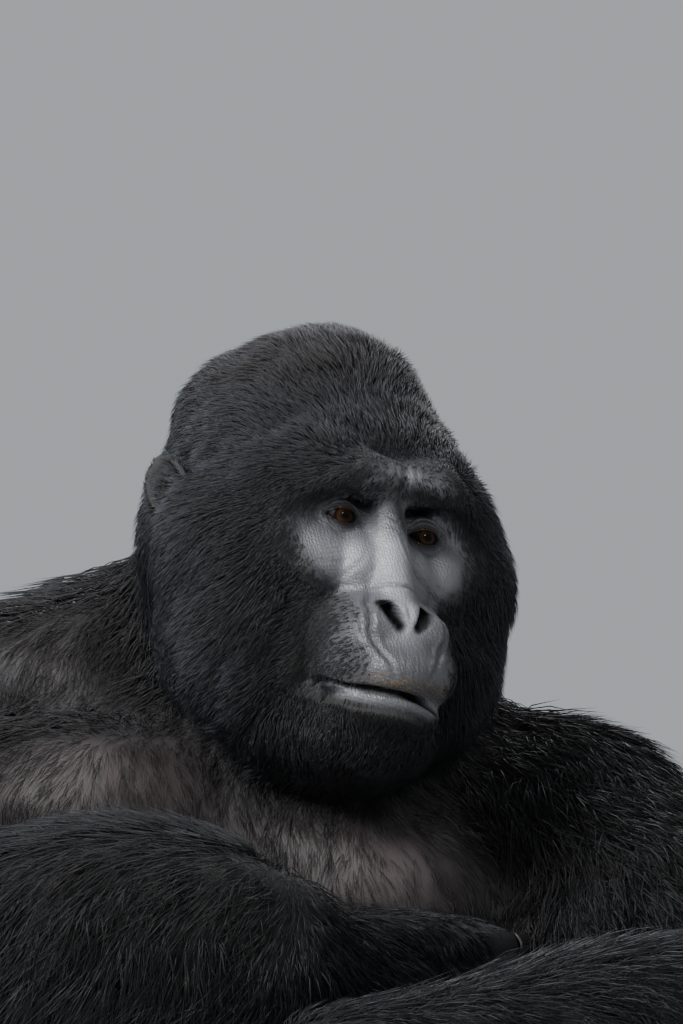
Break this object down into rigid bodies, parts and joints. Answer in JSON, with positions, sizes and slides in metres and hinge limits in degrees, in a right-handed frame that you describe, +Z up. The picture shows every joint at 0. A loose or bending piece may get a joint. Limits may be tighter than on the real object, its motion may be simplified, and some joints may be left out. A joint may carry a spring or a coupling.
{
  "type": "mountain gorilla model",
  "caption": "Life-size still model of an adult male mountain gorilla sitting on the ground, knees drawn up, forearms folded on its knees and head turned to its left.",
  "frame": {"origin": "middle of the flat under the rump, on the floor that the gorilla sits on", "axes": "-Y is where the chest faces, +X is the gorilla's own left side, +Z is up from the floor"},
  "size_m": [0.943, 0.9419, 1.0192],
  "materials": {
    "black_coat": "black hair with a blue-grey sheen, stood for by cloth",
    "bare_skin": "bare dark grey skin, finely creased, satin",
    "eye": "wet brown eye"
  },
  "bodies": {
    "root": {"eye_right": "eye", "eye_left": "eye", "head": "black_coat", "ear_right": "bare_skin", "ear_left": "bare_skin", "neck": "black_coat", "trunk": "black_coat", "upper_arm_right": "black_coat", "upper_arm_left": "black_coat", "forearm_right": "black_coat", "forearm_left": "black_coat", "hand_right": "bare_skin", "hand_left": "bare_skin", "thigh_right": "black_coat", "thigh_left": "black_coat", "shin_right": "black_coat", "shin_left": "black_coat", "foot_right": "bare_skin", "foot_left": "bare_skin"}
  },
  "joints": []
}
